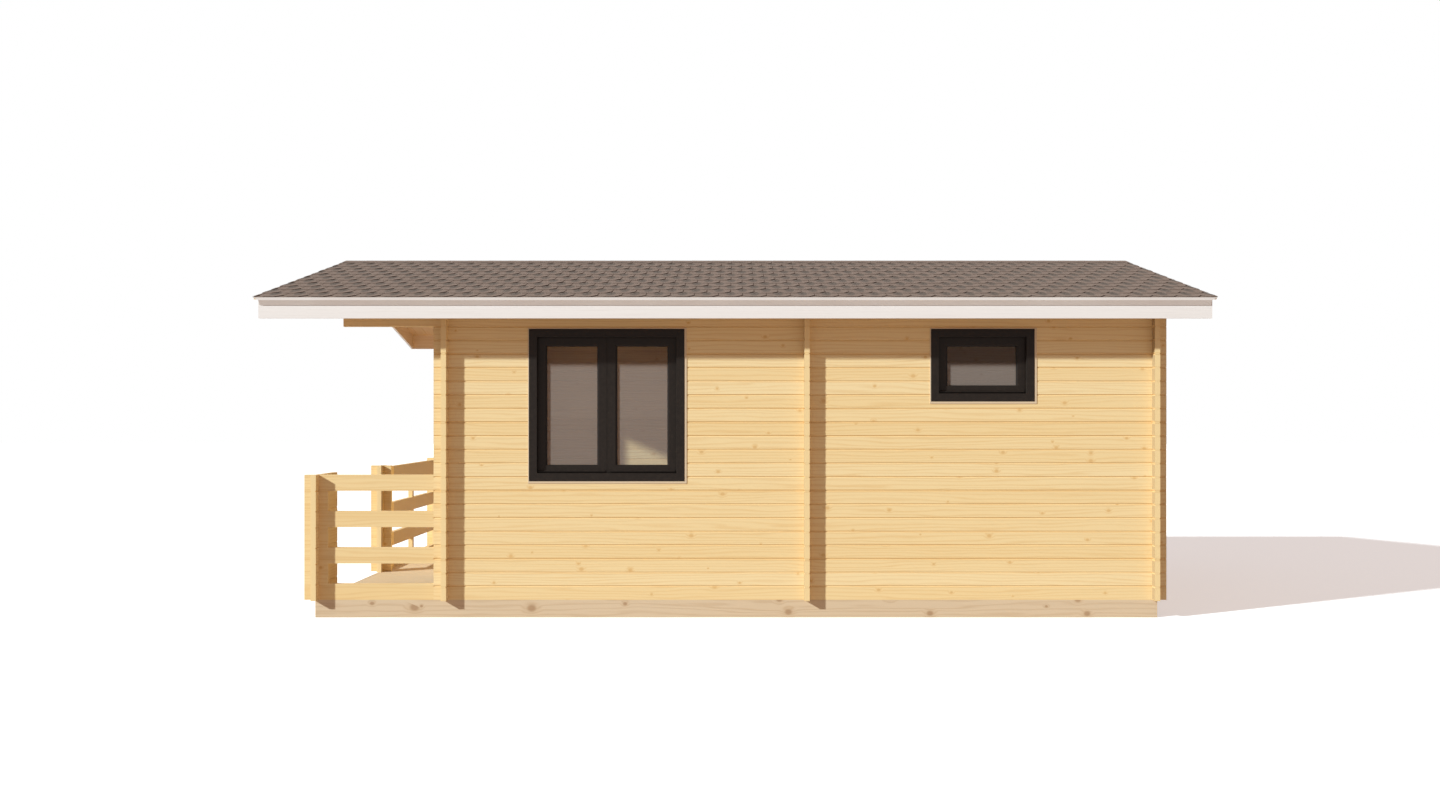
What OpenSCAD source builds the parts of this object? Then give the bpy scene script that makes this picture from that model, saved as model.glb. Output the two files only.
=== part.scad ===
// Two-room log cabin with a railed front terrace under a low gable roof, in millimetres.
// X runs along the length (the terrace is at -X), Y across, Z up.
// The origin is on the ground under the middle of the roof.

/* [Cabin] */
// Length over the outer faces of the front and back walls
cabin_l = 5860; // [5400:10:7400]
// Width over the outer faces of the side walls
cabin_w = 4200; // [4000:10:5600]
// Height of the side walls' outer faces above the base
eave_h = 2511; // [2400:1:2900]
// Thickness of a wall log
log_t = 44; // [34:1:58]
// Height of one course of logs
log_h = 112; // [96:1:136]
// Depth of the V groove between two courses
groove = 6; // [2:0.5:9]
// Length of a log end past a crossing
log_end = 75; // [40:1:120]
// Partition's near face from the front wall's outer face, as a share of the length
partition_part = 0.50546; // [0.46:0.00001:0.56]

/* [Base] */
// Height of the base timbers
base_h = 145; // [120:1:200]
// Width of the base timbers
base_w = 45; // [36:1:60]
// Front timber's outer face behind the front rail's
base_in = 15; // [0:1:25]
// Thickness of the floor and deck boards
floor_t = 28; // [18:1:36]
// Joists between the timbers under the terrace
terrace_joists = 1; // [1:1:3]
// Joists between the timbers under each room
room_joists = 4; // [2:1:6]

/* [Terrace] */
// Depth of the terrace, from the front wall's outer face to the front rail's
terrace_l = 1060; // [900:10:1600]
// Number of rails
rails = 4; // [3:1:5]
// Height of one rail
rail_h = 132; // [100:1:150]
// Gap between two rails
rail_gap = 166; // [120:1:200]
// Drop of the front rails below the side rails, which they cross
front_drop = 80; // [0:1:95]
// Drop of the front rail's top below the side rails' tops
front_top_drop = 20; // [0:1:40]
// Length of the closed rail beside the entrance, from the near side's outer face
stub_l = 490; // [300:10:800]
// Width of the entrance
entrance_w = 1350; // [1000:5:1600]
// Length of the spacer in the middle of the front rail
spacer_l = 60; // [44:1:300]

/* [Roof] */
// Slope in degrees
roof_pitch = 13.25; // [9:0.05:20]
// Fascia's outer face past the side walls
eave_over = 300; // [200:1:450]
// Bargeboards' outer faces past the front rail
front_over = 340; // [200:1:500]
// Bargeboards' outer faces past the back wall
back_over = 340; // [200:1:500]
// Roof edge past the fascia
eave_lip = 40; // [20:1:60]
// Roof edge past the bargeboards
verge_lip = 32; // [20:1:60]
// Thickness of the roof boards
board_t = 19; // [15:0.5:28]
// Thickness of the shingles
shingle_t = 5; // [3:0.5:10]
// Half width of the ridge cap, on plan
cap_w = 130; // [90:1:200]
// Thickness of the drip strip
drip_t = 6; // [3:0.5:12]
// Reach of the drip strip below the roof boards
drip_drop = 5; // [2:0.5:12]
// Height of the fascia and bargeboards
fascia_h = 154; // [120:1:200]
// Thickness of the fascia and bargeboards
fascia_t = 22; // [16:1:34]
// Width of a purlin
purlin_w = 60; // [44:1:90]
// Height of a purlin
purlin_h = 145; // [100:1:180]
// Distance of the side purlins from the ridge
purlin_y = 1100; // [800:10:1300]
// Number of top courses that run on under the front roof
plate_courses = 2; // [1:1:3]
// Their reach past the front wall
plate_reach = 814; // [300:1:860]

/* [Windows and door] */
// Window and door heads below the top of the side walls' outer faces
head_drop = 289; // [281:1:371]
// Casing width of the large windows
large_w = 1275; // [1000:5:1400]
// Casing height of the large windows
large_h = 1249; // [800:1:1500]
// Middle of the large side window from the front wall's outer face, as a share of the length
large_part = 0.22952; // [0.2:0.00001:0.29]
// Middle of the front window, from the ridge
front_window_y = 950; // [850:5:1100]
// Casing width of the small window
small_w = 849; // [600:1:1000]
// Casing height of the small window
small_h = 595; // [450:1:900]
// Middle of the small window from the front wall's outer face, as a share of the length
small_part = 0.75563; // [0.68:0.00001:0.78]
// Casing width of the door
door_w = 1050; // [900:5:1150]
// Middle of the door and the inner doorway, from the ridge
door_y = 1000; // [880:5:1200]
// Width of the inner doorway
inner_door_w = 860; // [700:5:950]
// Courses that the inner doorway is high
inner_door_courses = 18; // [15:1:18]
// Width of the casing
casing_w = 66; // [56:1:80]
// Thickness of the casing
casing_t = 8; // [4:1:24]
// Width of the casing that lies on the wall
casing_lap = 40; // [25:1:45]
// Depth of the frame, from the wall's outer face
frame_d = 78; // [74:1:110]
// Post between two sashes
mullion_w = 12; // [8:1:40]
// Width of a sash bar
sash_w = 64; // [45:1:80]
// Sash's outer face behind the wall's outer face
sash_in = 32; // [10:1:34]
// Thickness of a sash and of the door leaf
sash_t = 40; // [34:1:40]
// Glass behind the sash's outer face
glass_in = 19; // [8:1:22]
// Thickness of the glass
glass_t = 6; // [4:1:10]
// Height of the door's threshold
sill_h = 40; // [20:1:60]
// Width of the door leaf's stiles and top rail
stile_w = 110; // [90:1:150]
// Height of the door leaf's solid lower panel
kick_h = 760; // [400:10:1000]
// Height of the door handle above the base
handle_h = 1050; // [950:10:1150]

/* [Hidden] */

// Lengthwise places
roof_l = front_over + terrace_l + cabin_l + back_over;
front_x = front_over + terrace_l - roof_l / 2;
back_x = front_x + cabin_l;
rail_x = front_x - terrace_l;
base_x = rail_x + base_in;
partition_at = front_x + partition_part * cabin_l;
verge_x = roof_l / 2 + verge_lip;

// Crosswise places
side_y = cabin_w / 2;
fascia_y = side_y + eave_over;
edge_y = fascia_y + eave_lip;
inner_y = side_y - base_w;
stub_y = stub_l - side_y;
rail_end_y = stub_y + entrance_w;
cross_y = rail_end_y + log_end;

// Heights
head_h = eave_h - head_drop;
head_z = base_h + head_h;
courses = floor(eave_h / log_h);
plate_z = base_h + (courses - plate_courses) * log_h;
rail_pitch = rail_h + rail_gap;
rail_top = base_h + (rails - 1) * rail_pitch + rail_h;
front_top = rail_top - front_top_drop;
board_v = board_t / cos(roof_pitch);
shingle_v = shingle_t / cos(roof_pitch);
ridge_z = shingle_z(0) + shingle_v;

// Reach of a cutter past the faces it cuts
past = 1;

// Short logs of the railing: a crossing with a log end on each side
lock_l = log_t + 2 * log_end;

// Underside of the roof boards and the surfaces over it, at a distance y from the ridge
function under_z(y) = base_h + eave_h + (side_y - abs(y)) * tan(roof_pitch);
function board_z(y) = under_z(y) + board_v;
function shingle_z(y) = board_z(y) + shingle_v;

// Heights of the grooves between courses, below a limit
function course_lines(limit) = [for (z = [base_h + log_h : log_h : limit - 2 * groove]) z];

// Edges of the rails and of the spacers between them
rail_lines = [for (k = [0 : rails - 1]) each [
    base_h + k * rail_pitch,
    base_h + k * rail_pitch + rail_h
]];

// Outline of a stack of logs from u0 to u1, with a V groove on both faces at each line
function log_stack(u0, u1, bottom, top0, top1, lines) = concat(
    [[u0, bottom]],
    [for (z = lines) each [[u0, z - groove], [u0 + groove, z], [u0, z + groove]]],
    [[u0, top0], [u1, top1]],
    [for (k = [len(lines) - 1 : -1 : 0]) each [
        [u1, lines[k] + groove],
        [u1 - groove, lines[k]],
        [u1, lines[k] - groove]
    ]],
    [[u1, bottom]]
);

pine = [0.94, 0.82, 0.61];
pale_timber = [0.85, 0.75, 0.62];
roof_grey = [0.51, 0.45, 0.41];
trim_white = [0.93, 0.90, 0.88];
frame_black = [0.16, 0.13, 0.12];
pane_grey = [0.55, 0.48, 0.44, 0.5];
steel = [0.6, 0.6, 0.6];

// A Y-Z outline carried along X from x0 to x1
module along_x(x0, x1, outline) {
    translate([x0, 0, 0]) rotate([90, 0, 90]) linear_extrude(x1 - x0) polygon(outline);
}

// An X-Z outline carried along Y from y0 to y1
module along_y(y0, y1, outline) {
    translate([0, y1, 0]) rotate([90, 0, 0]) linear_extrude(y1 - y0) polygon(outline);
}

// A box between two corners
module block(low, high) {
    translate(low) cube(high - low);
}

module far_side() {
    mirror([0, 1, 0]) children();
}

// Base and floors

module side_bearer() {
    color(pale_timber) block([base_x, -side_y, 0], [back_x, -inner_y, base_h]);
}

module cross_bearer(x) {
    block([x, -inner_y, 0], [x + base_w, inner_y, base_h]);
}

// Joists spread evenly between two timbers
module bay_joists(x0, x1, count) {
    step = (x1 - x0 - count * base_w) / (count + 1);
    for (k = [1 : count])
        translate([x0 + k * step + (k - 1) * base_w, -inner_y, 0])
            cube([base_w, 2 * inner_y, base_h - floor_t]);
}

module floor_joists() {
    color(pale_timber) {
        cross_bearer(front_x);
        cross_bearer(partition_at);
        bay_joists(base_x + base_w, front_x, terrace_joists);
        bay_joists(front_x + base_w, partition_at, room_joists);
        bay_joists(partition_at + base_w, back_x - base_w, room_joists);
    }
}

module boards(x0, x1) {
    block([x0, -inner_y, base_h - floor_t], [x1, inner_y, base_h]);
}

module cabin_floor() {
    color(pine) {
        boards(front_x + base_w, partition_at);
        boards(partition_at + base_w, back_x - base_w);
    }
}

module terrace_deck() {
    color(pine) boards(base_x + base_w, front_x);
}

// Walls

// At a crossing the side wall keeps the lower half of each log and the cross wall the upper half
module lower_halves(x) {
    for (k = [0 : courses - 1])
        translate([x - past, -side_y, base_h + k * log_h]) cube([log_t + 2 * past, log_t, log_h / 2]);
    block([x - past, -side_y, base_h + courses * log_h], [x + log_t + past, log_t - side_y, under_z(0)]);
}

module upper_halves(x) {
    for (k = [0 : courses - 1])
        translate([x, -side_y - past, base_h + (k + 0.5) * log_h])
            cube([log_t, log_t + 2 * past, log_h / 2]);
}

// Logs of a side wall, with the top courses running on under the front roof
module side_logs() {
    top_in = under_z(side_y - log_t);
    outline = log_stack(
        -side_y, log_t - side_y, base_h, under_z(side_y), top_in, course_lines(under_z(side_y))
    );
    difference() {
        along_x(front_x - plate_reach, back_x + log_end, outline);
        block(
            [front_x - plate_reach - past, -side_y - past, base_h - past],
            [front_x - log_end, log_t - side_y + past, plate_z]
        );
        for (x = [front_x, partition_at, back_x - log_t])
            upper_halves(x);
    }
}

// Hole that takes a frame, in the frame's own axes
module frame_hole(w, h) {
    translate([casing_lap - w / 2, -past, casing_lap])
        cube([w - 2 * casing_lap, log_t + 2 * past, h - 2 * casing_lap]);
}

module near_side_wall() {
    color(pine) difference() {
        side_logs();
        at_large_window() frame_hole(large_w, large_h);
        at_small_window() frame_hole(small_w, small_h);
    }
}

module far_side_wall() {
    color(pine) far_side() side_logs();
}

// Space over the roof boards' underside
module over_roof(x0, x1) {
    low = under_z(edge_y);
    top = ridge_z + past;
    along_x(x0, x1, [[-edge_y, low], [0, under_z(0)], [edge_y, low], [edge_y, top], [-edge_y, top]]);
}

// Seats of the purlins, open at the top
module purlin_seats(x0, x1) {
    half = purlin_w / 2;
    ridge_bottom = under_z(half) - purlin_h;
    side_bottom = under_z(purlin_y + half) - purlin_h;
    block([x0, -half, ridge_bottom], [x1, half, ridge_z + past]);
    for (y = [-purlin_y, purlin_y])
        block([x0, y - half, side_bottom], [x1, y + half, ridge_z + past]);
}

// Logs of a wall across the cabin, up to the roof, with seats for the purlins
module cross_logs(x) {
    reach = side_y + log_end;
    outline = log_stack(x, x + log_t, base_h, ridge_z, ridge_z, course_lines(under_z(0)));
    difference() {
        along_y(-reach, reach, outline);
        over_roof(x - past, x + log_t + past);
        lower_halves(x);
        far_side() lower_halves(x);
        purlin_seats(x - past, x + log_t + past);
    }
}

module front_wall() {
    color(pine) difference() {
        cross_logs(front_x);
        at_front_window() frame_hole(large_w, large_h);
        at_door() translate([casing_lap - door_w / 2, -past, -past])
            cube([door_w - 2 * casing_lap, log_t + 2 * past, head_h - casing_lap + past]);
    }
}

module back_wall() {
    color(pine) cross_logs(back_x - log_t);
}

module partition_wall() {
    color(pine) difference() {
        cross_logs(partition_at);
        translate([partition_at - past, -door_y - inner_door_w / 2, base_h - past])
            cube([log_t + 2 * past, inner_door_w, inner_door_courses * log_h + past]);
    }
}

// Terrace railing

// Halves of the short logs at a crossing of two rails; part 0 is the lower half, 1 the upper
module rail_halves(x, y, part) {
    for (k = [0 : 2 * rails - 2]) {
        half = (rail_lines[k + 1] - rail_lines[k]) / 2;
        translate([x, y, rail_lines[k] + part * half]) cube([log_t, log_t, half]);
    }
}

// Rails from x0 to x1 in the plane of the near side
module rails_along_x(x0, x1) {
    for (k = [0 : rails - 1])
        translate([x0, -side_y, base_h + k * rail_pitch]) cube([x1 - x0, log_t, rail_h]);
}

// Side rail from the front corner to the side wall's log ends
module side_rail() {
    x0 = rail_x - log_end;
    color(pine) difference() {
        union() {
            rails_along_x(x0, front_x - log_end);
            block([x0, -side_y, base_h], [x0 + lock_l, log_t - side_y, rail_top]);
        }
        rail_halves(rail_x, -side_y, 1);
    }
}

// Closed rail beside the entrance
module front_stub() {
    inner_lines = [for (k = [1 : 2 * rails - 2]) rail_lines[k]];
    outline = log_stack(rail_x, rail_x + log_t, base_h, rail_top, rail_top, inner_lines);
    color(pine) difference() {
        along_y(-side_y - log_end, stub_y, outline);
        rail_halves(rail_x, -side_y, 0);
    }
}

// Short cross logs that lock the front rail's free end
module rail_cross() {
    color(pine) difference() {
        block(
            [rail_x - log_end, cross_y, base_h],
            [rail_x - log_end + lock_l, cross_y + log_t, rail_top]
        );
        rail_halves(rail_x, cross_y, 1);
    }
}

// Front rail from the entrance to the far corner
module front_rail() {
    end_y = side_y + log_end;
    middle_y = (cross_y + side_y - spacer_l) / 2;
    color(pine) difference() {
        union() {
            for (k = [0 : rails - 1]) {
                bottom = base_h + k * rail_pitch - front_drop;
                low = max(bottom, base_h);
                high = k < rails - 1 ? bottom + rail_h : front_top;
                block([rail_x, rail_end_y, low], [rail_x + log_t, end_y, high]);
            }
            block([rail_x, rail_end_y, base_h], [rail_x + log_t, rail_end_y + lock_l, rail_top]);
            block([rail_x, middle_y, base_h], [rail_x + log_t, middle_y + spacer_l, front_top]);
            block([rail_x, end_y - lock_l, base_h], [rail_x + log_t, end_y, rail_top]);
        }
        rail_halves(rail_x, cross_y, 0);
        far_side() rail_halves(rail_x, -side_y, 0);
    }
}

// Roof

// Purlin under the ridge, with its top cut to both slopes
module ridge_beam(x0, x1) {
    half = purlin_w / 2;
    bottom = under_z(half) - purlin_h;
    along_x(x0, x1, [
        [-half, bottom], [half, bottom], [half, under_z(half)], [0, under_z(0)], [-half, under_z(half)]
    ]);
}

// Purlins halfway down the slopes, with their tops cut to the slope
module side_beams(x0, x1) {
    low_y = -purlin_y - purlin_w / 2;
    high_y = low_y + purlin_w;
    bottom = under_z(low_y) - purlin_h;
    outline = [[low_y, bottom], [high_y, bottom], [high_y, under_z(high_y)], [low_y, under_z(low_y)]];
    along_x(x0, x1, outline);
    far_side() along_x(x0, x1, outline);
}

module ridge_purlin() {
    color(pine) ridge_beam(fascia_t - roof_l / 2, roof_l / 2 - fascia_t);
}

module side_purlins() {
    color(pine) side_beams(fascia_t - roof_l / 2, roof_l / 2 - fascia_t);
}

// Boards of the near slope
module roof_boards() {
    y = drip_t - edge_y;
    x = verge_x - drip_t;
    color(pine) along_x(-x, x, [[y, under_z(y)], [0, under_z(0)], [0, board_z(0)], [y, board_z(y)]]);
}

module shingles() {
    y = -edge_y;
    color(roof_grey)
        along_x(-verge_x, verge_x, [
            [y, board_z(y)], [0, board_z(0)], [0, shingle_z(0)], [y, shingle_z(y)]
        ]);
}

module ridge_cap() {
    color(roof_grey) along_x(-verge_x, verge_x, [
        [-cap_w, shingle_z(cap_w)], [0, shingle_z(0)], [cap_w, shingle_z(cap_w)],
        [cap_w, shingle_z(cap_w) + shingle_v], [0, shingle_z(0) + shingle_v],
        [-cap_w, shingle_z(cap_w) + shingle_v]
    ]);
}

// Strip that covers the edges of the near slope's boards on three sides
module drip_edge() {
    y = -edge_y;
    z = under_z(y) - drip_drop;
    slope = [[y, z], [0, under_z(0) - drip_drop], [0, board_z(0)], [y, board_z(y)]];
    color(trim_white) {
        along_x(-verge_x, verge_x, [
            [y, z], [y + drip_t, z], [y + drip_t, board_z(y + drip_t)], [y, board_z(y)]
        ]);
        along_x(-verge_x, drip_t - verge_x, slope);
        along_x(verge_x - drip_t, verge_x, slope);
    }
}

module fascia() {
    y = -fascia_y;
    bottom = under_z(y) - fascia_h;
    color(trim_white) along_x(-roof_l / 2, roof_l / 2, [
        [y, bottom], [y + fascia_t, bottom], [y + fascia_t, under_z(y + fascia_t)], [y, under_z(y)]
    ]);
}

// Board under the edge of the near slope, starting at x0
module bargeboard(x0) {
    y = fascia_t - fascia_y;
    color(trim_white) along_x(x0, x0 + fascia_t, [
        [y, under_z(y) - fascia_h], [0, under_z(0) - fascia_h], [0, under_z(0)], [y, under_z(y)]
    ]);
}

// Windows and door, each in its own axes: X across, Y inwards from the wall's face, Z up from its foot

module at_large_window() {
    translate([front_x + large_part * cabin_l, -side_y, head_z - large_h]) children();
}

module at_small_window() {
    translate([front_x + small_part * cabin_l, -side_y, head_z - small_h]) children();
}

module at_front_window() {
    translate([front_x, front_window_y, head_z - large_h]) rotate([0, 0, -90]) children();
}

module at_door() {
    translate([front_x, -door_y, base_h]) rotate([0, 0, -90]) children();
}

// Box centred across, inset on all four sides of a w by h casing, from y0 to y1
module inset_box(w, h, inset, y0, y1) {
    translate([inset - w / 2, y0, inset]) cube([w - 2 * inset, y1 - y0, h - 2 * inset]);
}

// Frame through the wall with a casing on both faces
module window_frame(w, h, leaves) {
    color(frame_black) {
        difference() {
            union() {
                inset_box(w, h, 0, -casing_t, 0);
                inset_box(w, h, casing_lap, 0, frame_d);
                inset_box(w, h, 0, log_t, log_t + casing_t);
            }
            inset_box(w, h, casing_w, -casing_t - past, frame_d + past);
        }
        if (leaves == 2)
            translate([-mullion_w / 2, sash_in, casing_w]) cube([mullion_w, sash_t, h - 2 * casing_w]);
    }
}

// Width of one sash, and the places of the sashes' left edges
function sash_l(w, leaves) = (w - 2 * casing_w - (leaves - 1) * mullion_w) / leaves;
function sash_places(w, leaves) = [
    for (k = [0 : leaves - 1]) casing_w - w / 2 + k * (sash_l(w, leaves) + mullion_w)
];

module sashes(w, h, leaves) {
    l = sash_l(w, leaves);
    tall = h - 2 * casing_w;
    color(frame_black)
        for (x = sash_places(w, leaves))
            translate([x, sash_in, casing_w]) difference() {
                cube([l, sash_t, tall]);
                translate([sash_w, -past, sash_w])
                    cube([l - 2 * sash_w, sash_t + 2 * past, tall - 2 * sash_w]);
            }
}

module panes(w, h, leaves) {
    l = sash_l(w, leaves) - 2 * sash_w;
    tall = h - 2 * (casing_w + sash_w);
    color(pane_grey)
        for (x = sash_places(w, leaves))
            translate([x + sash_w, sash_in + glass_in, casing_w + sash_w]) cube([l, glass_t, tall]);
}

// The door's leaf fills its frame between the threshold and the head
leaf_w = door_w - 2 * casing_w;
leaf_h = head_h - casing_w - sill_h;
light_w = leaf_w - 2 * stile_w;
light_h = leaf_h - kick_h - stile_w;

// Box centred across, inset at the sides and the top of the door's casing
module door_box(inset, y0, y1) {
    translate([inset - door_w / 2, y0, 0]) cube([door_w - 2 * inset, y1 - y0, head_h - inset]);
}

module door_frame() {
    color(frame_black) at_door() difference() {
        union() {
            door_box(0, -casing_t, 0);
            door_box(casing_lap, 0, frame_d);
            door_box(0, log_t, log_t + casing_t);
        }
        translate([-leaf_w / 2, -casing_t - past, sill_h])
            cube([leaf_w, casing_t + frame_d + 2 * past, leaf_h]);
    }
}

module door_leaf() {
    color(frame_black) at_door() translate([-leaf_w / 2, sash_in, sill_h]) difference() {
        cube([leaf_w, sash_t, leaf_h]);
        translate([stile_w, -past, kick_h]) cube([light_w, sash_t + 2 * past, light_h]);
    }
}

module door_glass() {
    color(pane_grey) at_door()
        translate([-light_w / 2, sash_in + glass_in, sill_h + kick_h]) cube([light_w, glass_t, light_h]);
}

// Plate and lever on each face of the leaf
plate_w = 36;
plate_h = 220;
plate_t = 6;
neck_r = 9;
neck_l = 34;
lever_l = 120;

module handle_side() {
    x = stile_w / 2 - leaf_w / 2;
    translate([x, sash_in, handle_h]) {
        block([-plate_w / 2, -plate_t, -plate_h / 2], [plate_w / 2, 0, plate_h / 2]);
        rotate([90, 0, 0]) cylinder(r = neck_r, h = plate_t + neck_l);
        translate([-neck_r, -plate_t - neck_l, -neck_r]) cube([lever_l, 2 * neck_r, 2 * neck_r]);
    }
}

module door_handle() {
    color(steel) at_door() {
        handle_side();
        translate([0, 2 * sash_in + sash_t, 0]) mirror([0, 1, 0]) handle_side();
    }
}

side_bearer();  // near_bearer
far_side() side_bearer();  // far_bearer
color(pale_timber) cross_bearer(base_x);  // front_bearer
color(pale_timber) cross_bearer(back_x - base_w);  // back_bearer
floor_joists();
cabin_floor();
terrace_deck();
near_side_wall();
far_side_wall();
front_wall();
back_wall();
partition_wall();
side_rail();  // near_rail
far_side() side_rail();  // far_rail
front_stub();
rail_cross();
front_rail();
ridge_purlin();
side_purlins();
roof_boards();  // near_roof_boards
far_side() roof_boards();  // far_roof_boards
shingles();  // near_shingles
far_side() shingles();  // far_shingles
ridge_cap();
drip_edge();  // near_drip_edge
far_side() drip_edge();  // far_drip_edge
fascia();  // near_fascia
far_side() fascia();  // far_fascia
bargeboard(-roof_l / 2);  // front_near_bargeboard
far_side() bargeboard(-roof_l / 2);  // front_far_bargeboard
bargeboard(roof_l / 2 - fascia_t);  // back_near_bargeboard
far_side() bargeboard(roof_l / 2 - fascia_t);  // back_far_bargeboard
at_large_window() window_frame(large_w, large_h, 2);  // large_window_frame
at_large_window() sashes(large_w, large_h, 2);  // large_window_sashes
at_large_window() panes(large_w, large_h, 2);  // large_window_glass
at_small_window() window_frame(small_w, small_h, 1);  // small_window_frame
at_small_window() sashes(small_w, small_h, 1);  // small_window_sash
at_small_window() panes(small_w, small_h, 1);  // small_window_glass
at_front_window() window_frame(large_w, large_h, 2);  // front_window_frame
at_front_window() sashes(large_w, large_h, 2);  // front_window_sashes
at_front_window() panes(large_w, large_h, 2);  // front_window_glass
door_frame();
door_leaf();
door_glass();
door_handle();
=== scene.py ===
import math
import bmesh
import bpy
import numpy as np
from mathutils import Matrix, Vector


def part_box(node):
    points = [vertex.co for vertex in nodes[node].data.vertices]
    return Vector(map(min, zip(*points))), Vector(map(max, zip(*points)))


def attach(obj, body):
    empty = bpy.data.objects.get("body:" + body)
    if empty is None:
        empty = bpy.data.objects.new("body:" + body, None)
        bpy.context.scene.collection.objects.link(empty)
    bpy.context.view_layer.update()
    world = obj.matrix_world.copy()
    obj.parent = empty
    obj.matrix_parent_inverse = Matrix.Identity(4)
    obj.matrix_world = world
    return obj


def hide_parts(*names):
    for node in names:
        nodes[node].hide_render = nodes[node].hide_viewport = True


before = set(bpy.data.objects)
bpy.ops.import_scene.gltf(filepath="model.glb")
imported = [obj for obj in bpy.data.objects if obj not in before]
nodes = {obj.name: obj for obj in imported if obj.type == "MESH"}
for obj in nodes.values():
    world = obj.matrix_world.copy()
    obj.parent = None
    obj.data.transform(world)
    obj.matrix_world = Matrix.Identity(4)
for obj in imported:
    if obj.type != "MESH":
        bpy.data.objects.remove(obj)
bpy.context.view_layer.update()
rng = np.random.default_rng(44)
print("frame loaded:", len(nodes), "nodes")


# Shader maths

def srgb(r, g, b):  # display colour 0 to 255 to linear light
    c = np.array([r, g, b]) / 255.0
    linear = np.where(c <= 0.04045, c / 12.92, ((c + 0.055) / 1.055) ** 2.4)
    return (*linear.tolist(), 1.0)


class Flow:  # wraps a socket, its operators add Math nodes
    def __init__(self, tree, socket=None):
        self.tree = tree
        self.socket = socket

    def node(self, kind, settings=None, inputs=None, out=0):
        made = self.tree.nodes.new("ShaderNode" + kind)
        for key, value in (settings or {}).items():
            setattr(made, key, value)
        for key, value in (inputs or {}).items():
            self.feed(made.inputs[key], value)
        return Flow(self.tree, made.outputs[out])

    def feed(self, socket, value):
        if isinstance(value, Flow):
            self.tree.links.new(value.socket, socket)
        else:
            socket.default_value = value

    def also(self, out):  # another output of the same node
        return Flow(self.tree, self.socket.node.outputs[out])

    def math(self, operation, first, second=0.0):
        return self.node("Math", {"operation": operation}, {0: first, 1: second})

    def __add__(self, other):
        return self.math("ADD", self, other)

    __radd__ = __add__

    def __mul__(self, other):
        return self.math("MULTIPLY", self, other)

    __rmul__ = __mul__

    def __sub__(self, other):
        return self.math("SUBTRACT", self, other)

    def __rsub__(self, other):
        return self.math("SUBTRACT", other, self)

    def __truediv__(self, other):
        return self.math("DIVIDE", self, other)

    def __rtruediv__(self, other):
        return self.math("DIVIDE", other, self)

    def __pow__(self, other):
        return self.math("POWER", self, other)

    def __rpow__(self, other):
        return self.math("POWER", other, self)

    def apply(self, operation, second=0.0):
        return self.math(operation, self, second)

    def step(self, low, high):  # 0 below low, 1 above high, smooth between
        inputs = {0: self, 1: low, 2: high, 3: 0.0, 4: 1.0}
        return self.node("MapRange", {"interpolation_type": "SMOOTHSTEP"}, inputs)

    def vector(self, x, y, z=0.0):
        return self.node("CombineXYZ", None, {0: x, 1: y, 2: z})

    def noise(self, place, scale=1.0, detail=2.0, roughness=0.5):
        inputs = {"Vector": place, "Scale": scale, "Detail": detail, "Roughness": roughness}
        return self.node("TexNoise", None, inputs)

    def layer(self, name):  # a number that each point of the mesh carries
        return self.node("Attribute", {"attribute_name": name}, out=2)

    def scatter(self, seed):  # one random number for each value of seed
        return self.node("TexWhiteNoise", {"noise_dimensions": "1D"}, {"W": seed})

    def blend(self, amount, first, second):  # colour mix
        inputs = {0: amount, 6: first, 7: second}
        return self.node("Mix", {"data_type": "RGBA"}, inputs, out=2)


def newMaterial(name):
    material = bpy.data.materials.new(name)
    material.use_nodes = True
    tree = material.node_tree
    tree.nodes.clear()
    shader = tree.nodes.new("ShaderNodeBsdfPrincipled")
    output = tree.nodes.new("ShaderNodeOutputMaterial")
    tree.links.new(shader.outputs[0], output.inputs[0])
    return material, Flow(tree), shader


def dress(flow, shader, colour, roughness, height, depth, specular=0.5):
    flow.feed(shader.inputs["Base Color"], colour)
    flow.feed(shader.inputs["Roughness"], roughness)
    bump = flow.node("Bump", None, {"Strength": 1.0, "Distance": depth, "Height": height})
    flow.feed(shader.inputs["Normal"], bump)
    shader.inputs["Specular IOR Level"].default_value = specular


def places(flow):  # object coordinates and the object's own normal
    coords = flow.node("TexCoord", out=3)
    xyz = flow.node("SeparateXYZ", None, {0: coords})
    turn = flow.node("SeparateXYZ", None, {0: coords.also(1)})
    return {
        "here": coords, "x": xyz, "y": xyz.also(1), "z": xyz.also(2),
        "nx": turn, "ny": turn.also(1), "nz": turn.also(2),
    }


# Wood: grain runs along one axis, each log or board has its own tone and its own stretch of grain

pineLook = {
    "pale": srgb(247, 221, 172),
    "mid": srgb(240, 206, 148),
    "late": srgb(226, 184, 124),      # late-wood lines
    "knot": srgb(223, 180, 120),
    "ring": srgb(232, 192, 132),
    "end": srgb(247, 218, 164),
    "paintedShade": srgb(168, 142, 106),  # painted shade on the sides of the log ends that face the sun
    "knotSpacing": 0.62,
    "knotRow": 0.09,
    "knotRadius": 0.010,
    "knotShare": 0.42,
    "lineDensity": 210.0,
    "toneSpread": 0.55,
    "bump": 0.0006,
    "roughness": 0.62,
    "specular": 0.32,
    "grooveTint": srgb(228, 188, 128),
    "grooveHalf": 0.0045,             # half the cut groove's width
    "grooveReach": 0.013,             # how far its tint runs on over the face
    "strongReach": 0.004,             # and how much farther along the strong lines
    "strongEvery": 5.0,
    "strongLine": 3.0,
}


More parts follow.
